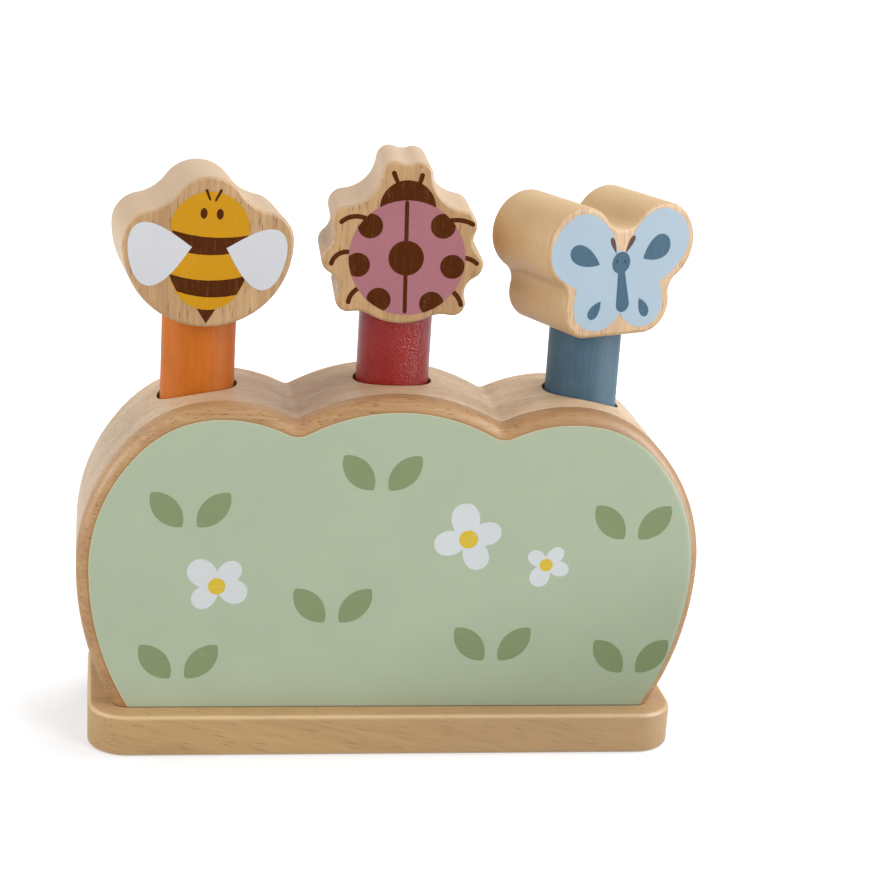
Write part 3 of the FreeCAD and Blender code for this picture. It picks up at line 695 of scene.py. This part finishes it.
# ------------------------------------------------------------------------------ dowels of the pegs
# Three turned beech dowels, dipped in satin paint that lets the upright grain show through: the
# bee's orange, the ladybird's red and the butterfly's blue.
DOWEL_PAINTS = {                # a paint's colour, how matt it is, how gritty, and how glossy
    "bee": ((197, 106, 30), 0.38, 0.2, 0.10),
    "ladybird": ((149, 25, 20), 0.12, 1.5, 0.20),
    "butterfly": ((74, 103, 121), 0.40, 0.6, 0.15),
}
PAINT_DEPTH = 0.07              # of its relief, in mm
PAINT_STREAKS, PAINT_PITS = (0.05, 0.9), (0.7, 2.6)     # repeats a millimetre, along and across
PAINT_CLOUD, PAINT_GRAINS = (0.09, 0.12), (1.1, 3.0)
STREAK_SHADES, CLOUD_SHADES, PIT_SHADE = (0.94, 1.05), (-0.05, 0.05), -0.10     # added up
PIT_RISE = -0.8                 # its part of the relief
STREAK_ROUGHNESS = 0.2          # what the streaks add


def make_painted_grain():
    """Thin paint over turned beech: streaks along the grain, tiny pits, and the tone they make."""
    group, given, result = new_group(
        "painted_grain",
        [("Place", VECTOR, None), ("Paint", COLOUR, None), ("Matt", NUMBER, 0.3), ("Grit", NUMBER, 0.2)],
        SURFACE)
    place = given.outputs["Place"]
    streaks = noise_node(group, stretched(group, place, *PAINT_STREAKS), 4.0)
    pits = add_node(group, "ShaderNodeTexVoronoi",
                    {"Vector": stretched(group, place, *PAINT_PITS), "Scale": 1.0}).outputs["Distance"]
    pit = ramp_node(group, pits, 0.10, 0.32, 1.0, 0.0)
    cloud = noise_node(group, stretched(group, place, *PAINT_CLOUD), 2.0)
    shade = math_node(group, "ADD", ramp_node(group, streaks, 0.3, 0.7, *STREAK_SHADES),
                      ramp_node(group, cloud, 0.3, 0.7, *CLOUD_SHADES))
    shade = math_node(group, "MULTIPLY_ADD", pit, PIT_SHADE, shade)
    paint = mix_node(group, 1.0, given.outputs["Paint"], grey_node(group, shade), "MULTIPLY")
    height = math_node(group, "MULTIPLY_ADD", pit, PIT_RISE, streaks)
    grains = noise_node(group, stretched(group, place, *PAINT_GRAINS), 2.0)
    grains = math_node(group, "MULTIPLY", ramp_node(group, grains, 0.35, 0.75), given.outputs["Grit"])
    height = math_node(group, "ADD", height, grains)
    roughness = math_node(group, "MULTIPLY_ADD", streaks, STREAK_ROUGHNESS, given.outputs["Matt"])
    put_out(group, result, Colour=paint, Height=height, Roughness=roughness)
    return group


painted_grain = make_painted_grain()


def dowel_material(animal, paint, matt, grit, gloss):
    material, tree, shader = new_material(f"{animal}_dowel_paint")
    coat = add_node(tree, "ShaderNodeGroup",
                    {"Place": places_in_mm(tree, ALONG_Z), "Paint": linear(paint), "Matt": matt,
                     "Grit": grit}, node_tree=painted_grain)
    give_surface(tree, shader, coat.outputs["Colour"], coat.outputs, PAINT_DEPTH, gloss)
    return material


for animal, finish in DOWEL_PAINTS.items():
    set_finish(f"{animal}_dowel", dowel_material(animal, *finish))

# ------------------------------------------------------------------------------ heads of the pegs
# Three thick heads sawn from beech with upright grain: the bee's, the ladybird's and the
# butterfly's. Each is bored from below and glued on its dowel, a little turned.
HEAD_TONES = ((206, 169, 123), (166, 126, 84), (100, 62, 34))
HEAD_FLECKS = (4.2, 0.4, 0.85)
HEAD_PALES = {"bee": HEAD_TONES[0], "ladybird": (202, 162, 116), "butterfly": (208, 171, 122)}
HEAD_RIMS = {"bee": (213, 186, 154), "ladybird": (213, 186, 154), "butterfly": (217, 184, 139)}
HEAD_RIM_SHARE = 0.75           # how far the sawn rim leans to that tone
HEAD_END_SHADE = 0.87           # the share of its tone that its end grain keeps: darker end grain, and painted shade on the heads' tops
HEAD_BOARDS = {"bee": (12.0, 3.0, 8.0), "ladybird": (60.0, 41.0, 5.0), "butterfly": (9.0, 77.0, 66.0)}
PEG_Y = 4.0                     # how far back the pegs stand
HEAD_FACE_Y = -12.0             # where a head's front is before its turn
# How far across the toy each peg stands, and its head's turn in degrees.
PEGS = {"bee": (-64.0, 5.5), "ladybird": (0.0, -3.5), "butterfly": (64.0, 24.0)}


def head_material(animal, board):
    material, tree, shader = new_material(f"{animal}_head_wood")
    tones = (HEAD_PALES[animal], *HEAD_TONES[1:])
    grain = add_beech(tree, places_in_mm(tree, ALONG_Z, board), tones, HEAD_FLECKS)
    turn = math.radians(PEGS[animal][1])
    sides = add_node(tree, "ShaderNodeGroup", {"Sawn axis": (-math.sin(turn), math.cos(turn), 0.0)},
                     node_tree=turned_away)
    rim = math_node(tree, "MULTIPLY", sides.outputs["Rim"], HEAD_RIM_SHARE)
    colour = mix_node(tree, rim, grain.outputs["Colour"], linear(HEAD_RIMS[animal]))
    # darker end grain and painted shade on the heads' tops
    colour = darken_ends(tree, colour, (0.0, 0.0, 1.0), HEAD_END_SHADE)
    give_surface(tree, shader, colour, grain.outputs)
    return material


for animal, board in HEAD_BOARDS.items():
    set_finish(f"{animal}_head", head_material(animal, board))

# ---------------------------------------------------------------------------- print of the bee
# A plain bee printed in four layers on the front of its head: a brown sting, a yellow body, brown
# bands, eyes and feelers, and two white wings over them. Places are across and up, in millimetres.
INK_BROWN = (79, 35, 3)
BEE_YELLOW = (205, 147, 24)
WING_WHITE = (211, 212, 215)
WING_POWERS = (1.1, 0.45)       # of a wing's inner and outer end
FACET_TURN = 6                  # the turn of one straight step of an arc, in degrees
SAME_PLACE = 0.01               # corners closer than this are one


def arc_loop(bm, corners):
    """A flat face in XZ whose sides are arcs: a corner is across, up and its side's turn in degrees.
    The corners run anticlockwise from the front, and a positive turn bows a side outwards."""
    for (x, z, turn), (next_x, next_z, _) in zip(corners, corners[1:] + corners[:1]):
        start, end = Vector((x, 0.0, z)), Vector((next_x, 0.0, next_z))
        left = Vector((start.z - end.z, 0.0, end.x - start.x))
        centre = (start + end) / 2 + left / 2 / math.tan(math.radians(turn) / 2)
        bmesh.ops.spin(bm, geom=[bm.verts.new(start)], cent=centre, axis=(0.0, -1.0, 0.0),
                       angle=math.radians(turn), steps=max(1, round(abs(turn) / FACET_TURN)))
    loop = [vert for vert in bm.verts if not vert.link_faces]
    bmesh.ops.remove_doubles(bm, verts=loop, dist=SAME_PLACE)
    bmesh.ops.edgeloop_fill(bm, edges=[edge for edge in bm.edges if not edge.link_faces])


def stroke(bm, start, end, width, bow=0.5, end_width=None):
    """A round-ended line from start to end; bow is its turn in degrees, positive anticlockwise."""
    start, end = Vector(start), Vector(end)
    heading = (end - start).normalized()
    aside = Vector((-heading.y, heading.x))
    start_side = Matrix.Rotation(-math.radians(bow) / 2, 2) @ aside * width / 2
    end_side = Matrix.Rotation(math.radians(bow) / 2, 2) @ aside
    end_side *= (end_width or width) / 2
    arc_loop(bm, [(*(start - start_side), bow), (*(end - end_side), 180), (*(end + end_side), -bow),
                  (*(start + start_side), 180)])


def draw_bee_body(bm):
    arc_loop(bm, [(-8.7, 147.8, 97), (8.7, 147.8, 30), (12.1, 155.6, -6), (12.4, 168.0, 12),
                  (12.6, 171.9, 155), (-12.2, 171.6, 12), (-11.7, 169.2, -6), (-12.2, 155.8, 30)])


def draw_bee_marks(bm):
    arc_loop(bm, [(-11.1, 163.4, 35), (11.6, 163.1, 3), (12.4, 167.9, -28), (-11.7, 169.4, 3)])
    arc_loop(bm, [(-9.8, 149.9, 33), (9.2, 148.8, 9), (12.3, 155.0, -35), (-12.4, 155.5, 9)])
    drop(bm, (-1.9, 173.1), (-1.9, 176.5), 2.2, ROUND, ROUND)
    drop(bm, (3.2, 172.9), (3.2, 176.3), 2.2, ROUND, ROUND)
    stroke(bm, (-1.2, 182.0), (-0.1, 179.2), 0.9, 4, 0.65)
    stroke(bm, (3.3, 182.0), (1.7, 178.9), 0.9, -4, 0.65)


def draw_bee_wings(bm):
    drop(bm, (-5.3, 164.1), (-25.1, 160.8), 20.4, *WING_POWERS)
    drop(bm, (5.5, 163.8), (24.2, 158.6), 20.0, *WING_POWERS)


def draw_bee_sting(bm):
    arc_loop(bm, [(-0.2, 139.4, 2), (3.6, 145.6, 2), (-4.2, 145.7, 2)])


def print_head(animal, films):
    """Prints films on a head's front: each is a name, a drawing, a layer and an ink."""
    x, turn = PEGS[animal]
    for name, draw, layer, ink in films:
        film = lay_print(f"{animal}_{name}", draw, layer, ink, f"{animal}_peg", x, turn, HEAD_FACE_Y,
                         PEG_Y)


brown_ink = ink_material("brown_ink", INK_BROWN, HEAD_TONES[1], 0.35)
bee_yellow_ink = ink_material("bee_yellow_ink", BEE_YELLOW, HEAD_TONES[0], 0.3)
wing_ink = ink_material("wing_white_ink", WING_WHITE, HEAD_TONES[0], 0.15)
print_head("bee", [("sting", draw_bee_sting, 0, brown_ink), ("body", draw_bee_body, 1, bee_yellow_ink),
                   ("marks", draw_bee_marks, 2, brown_ink), ("wings", draw_bee_wings, 3, wing_ink)])

# ----------------------------------------------------------------------- print of the ladybird
# A plain ladybird: brown head, feelers and legs, a pink round back over them, and brown dots and
# a middle line on top.
BACK_PINK = (172, 113, 121)
BACK = (1.3, 162.4, 18.6)       # its middle, across and up, and its radius
LEG_WIDTH = 1.5
LADYBIRD_LEGS = [               # outer end, inner end and bow
    ((-20.1, 173.2), (-11.3, 174.0), -78), ((-22.7, 159.7), (-16.6, 163.5), -90),
    ((-16.7, 147.4), (-13.6, 152.0), -55), ((21.6, 174.2), (13.2, 174.7), 48),
    ((23.6, 161.6), (18.3, 163.2), 48), ((19.4, 147.9), (15.6, 152.6), 50),
]
LADYBIRD_DOTS = [               # middle and radius; a dot stops at the edge of the back
    ((1.0, 162.4), 5.65), ((-10.9, 172.3), 4.0), ((12.2, 173.2), 4.0), ((-14.3, 159.6), 3.9),
    ((15.9, 160.2), 3.9), ((-7.1, 148.5), 3.9), ((9.9, 147.9), 3.9),
]


def draw_ladybird_limbs(bm):
    dot(bm, (0.65, 178.5), 8.9)
    for outer, inner, bow in LADYBIRD_LEGS:
        stroke(bm, outer, inner, LEG_WIDTH, bow)
    stroke(bm, (-4.3, 189.4), (-2.7, 186.0), 1.6, 12, 1.2)
    stroke(bm, (4.6, 189.1), (3.8, 186.0), 1.6, -12, 1.2)


def draw_ladybird_marks(bm):
    for middle, radius in LADYBIRD_DOTS:
        dot(bm, middle, radius, BACK)
    stroke(bm, (0.3, 180.2), (1.5, 145.0), 1.3)


pink_ink = ink_material("back_pink_ink", BACK_PINK, HEAD_TONES[0], 0.15)
print_head("ladybird", [("limbs", draw_ladybird_limbs, 0, brown_ink),
                        ("back", lambda bm: dot(bm, BACK[:2], BACK[2]), 1, pink_ink),
                        ("marks", draw_ladybird_marks, 2, brown_ink)])

# ---------------------------------------------------------------------- print of the butterfly
# A plain butterfly: four pale blue wings in one film, darker blue spots, head and body on them,
# two brown feelers and two dark eyes.
WING_BLUE = (168, 187, 201)
SPOT_BLUE = (58, 93, 114)
FEELER_BROWN = (90, 52, 50)
EYE_DARK = (34, 54, 66)
BUTTERFLY_OUTLINE = [
    (-0.6, 0.3, 54), (7.9, -5.1, 86), (16.3, 0.8, 41), (14.6, 9.5, 32), (24.8, 19.5, 73), (21.9, 31.0, 66),
    (8.9, 33.1, 44), (0.0, 20.7, 1), (-3.4, 21.1, 39), (-11.4, 31.9, 60), (-21.9, 32.8, 51),
    (-29.7, 22.7, 72), (-23.6, 12.0, 5), (-18.8, 9.1, 34), (-18.5, -1.0, 68), (-6.0, -4.6, 30),
]
BUTTERFLY_ORIGIN = (1.8, 145.6)     # where the drawings' origin is on the head, across and up
SPOT_POINT, FEELER_POINT = 0.9, 1.2         # the power of their inner ends


def draw_butterfly_wings(bm):
    arc_loop(bm, BUTTERFLY_OUTLINE)


def draw_butterfly_spots(bm):
    drop(bm, (-10.5, 16.9), (-22.3, 22.3), 6.4, SPOT_POINT, ROUND)
    drop(bm, (7.1, 17.9), (17.4, 23.6), 8.0, SPOT_POINT, ROUND)
    drop(bm, (-8.9, 4.6), (-13.0, -0.9), 4.0, SPOT_POINT, ROUND)
    drop(bm, (6.8, 4.6), (10.4, -1.6), 3.6, SPOT_POINT, ROUND)
    dot(bm, (-1.8, 17.0), 3.6)
    stroke(bm, (-1.5, 14.6), (0.1, 3.1), 2.6, 8, 5.3)


def draw_butterfly_feelers(bm):
    drop(bm, (-4.0, 20.0), (-6.5, 25.5), 1.7, FEELER_POINT, ROUND)
    drop(bm, (-0.4, 20.0), (2.8, 25.7), 1.8, FEELER_POINT, ROUND)


def draw_butterfly_eyes(bm):
    for x, z in ((-3.5, 17.6), (-0.3, 17.3)):
        drop(bm, (x, z + 0.6), (x, z - 0.6), 0.75, ROUND, ROUND)


def on_butterfly(draw):
    """The drawing with its origin at BUTTERFLY_ORIGIN on the head."""
    across, up = BUTTERFLY_ORIGIN

    def draw_there(bm):
        draw(bm)
        bmesh.ops.translate(bm, verts=bm.verts[:], vec=(across, 0.0, up))

    return draw_there


wing_blue_ink = ink_material("wing_blue_ink", WING_BLUE, HEAD_TONES[0], 0.12)
spot_blue_ink = ink_material("spot_blue_ink", SPOT_BLUE, WING_BLUE, 0.25)
feeler_ink = ink_material("feeler_brown_ink", FEELER_BROWN, WING_BLUE, 0.1)
eye_ink = ink_material("eye_ink", EYE_DARK, SPOT_BLUE, 0.1)
print_head("butterfly", [("wings", on_butterfly(draw_butterfly_wings), 0, wing_blue_ink),
                         ("spots", on_butterfly(draw_butterfly_spots), 1, spot_blue_ink),
                         ("feelers", on_butterfly(draw_butterfly_feelers), 2, feeler_ink),
                         ("eyes", on_butterfly(draw_butterfly_eyes), 2, eye_ink)])

# ------------------------------------------------------------------------------- springs and caps
# Under each peg a coil of drawn spring wire stands in the block's chamber, its end turns closed,
# and carries a plain wooden cap that the dowel rests on.
WIRE_RADIUS = 0.7
WIRE_SIDES = 12
COIL_RADIUS = 10.8              # to the middle of the wire
COIL_FOOT = 11.3                # where the lowest turn rests
COIL_HEIGHT = 47.4
END_TURN_RISE = 1.43            # of the closed turn at each end
OPEN_TURNS = 6
STEPS_A_TURN = 36
COIL_WELD = 0.001               # points closer than this are one
DRAWN_TONES = ((0.48, 0.48, 0.47, 1.0), (0.66, 0.65, 0.63, 1.0))
DRAWN_ROUGHNESS = (0.22, 0.38)
CAP_TONES = ((226, 199, 160), (204, 171, 126), (150, 112, 76))
CAP_FLECKS = (2.5, 0.35, 0.5)
CAP_SLANT, CAP_BOARD = (0.0, 0.0, 0.4), (3.0, 20.0, 11.0)
CAP_DEPTH = 0.06                # of its relief


def wind_coil(bm):
    """Spins a round wire up round the Z axis: a closed turn, the open turns, a closed turn."""
    upright = Matrix.Rotation(math.pi / 2, 4, "X")
    start = Matrix.Translation((COIL_RADIUS, 0.0, COIL_FOOT + WIRE_RADIUS)) @ upright
    bmesh.ops.create_circle(bm, segments=WIRE_SIDES, radius=WIRE_RADIUS, matrix=start)
    first_end = ends = bm.edges[:]
    open_rise = (COIL_HEIGHT - 2 * WIRE_RADIUS - 2 * END_TURN_RISE) / OPEN_TURNS
    for turns, rise in ((1, END_TURN_RISE), (OPEN_TURNS, open_rise), (1, END_TURN_RISE)):
        spun = bmesh.ops.spin(bm, geom=ends, cent=(0.0, 0.0, 0.0), axis=(0.0, 0.0, 1.0),
                              dvec=(0.0, 0.0, rise / STEPS_A_TURN), angle=math.tau * turns,
                              steps=STEPS_A_TURN * turns)
        ends = [part for part in spun["geom_last"] if isinstance(part, bmesh.types.BMEdge)]
    bmesh.ops.edgeloop_fill(bm, edges=first_end)
    bmesh.ops.edgeloop_fill(bm, edges=ends)


def cap_material():
    material, tree, shader = new_material("cap_wood")
    grain = add_beech(tree, places_in_mm(tree, CAP_SLANT, CAP_BOARD), CAP_TONES, CAP_FLECKS)
    give_surface(tree, shader, grain.outputs["Colour"], grain.outputs, CAP_DEPTH)
    return material


spring_wire = steel_material("spring_steel", 1.6, 3.0, DRAWN_TONES, DRAWN_ROUGHNESS)
cap_wood = cap_material()
for animal, (peg_x, _) in PEGS.items():
    bm = bmesh.new()
    wind_coil(bm)
    bmesh.ops.remove_doubles(bm, verts=bm.verts[:], dist=COIL_WELD)
    bmesh.ops.recalc_face_normals(bm, faces=bm.faces[:])
    bmesh.ops.translate(bm, verts=bm.verts[:], vec=(peg_x, PEG_Y, 0.0))
    for face in bm.faces:
        face.smooth = len(face.verts) == 4      # all but the wire's two flat ends
    coil = make_object(bm, f"{animal}_coil", spring_wire)
    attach(coil, f"{animal}_spring_seat")
    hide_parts(f"{animal}_spring")
    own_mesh(coil)
    set_finish(f"{animal}_spring_cap", cap_wood)
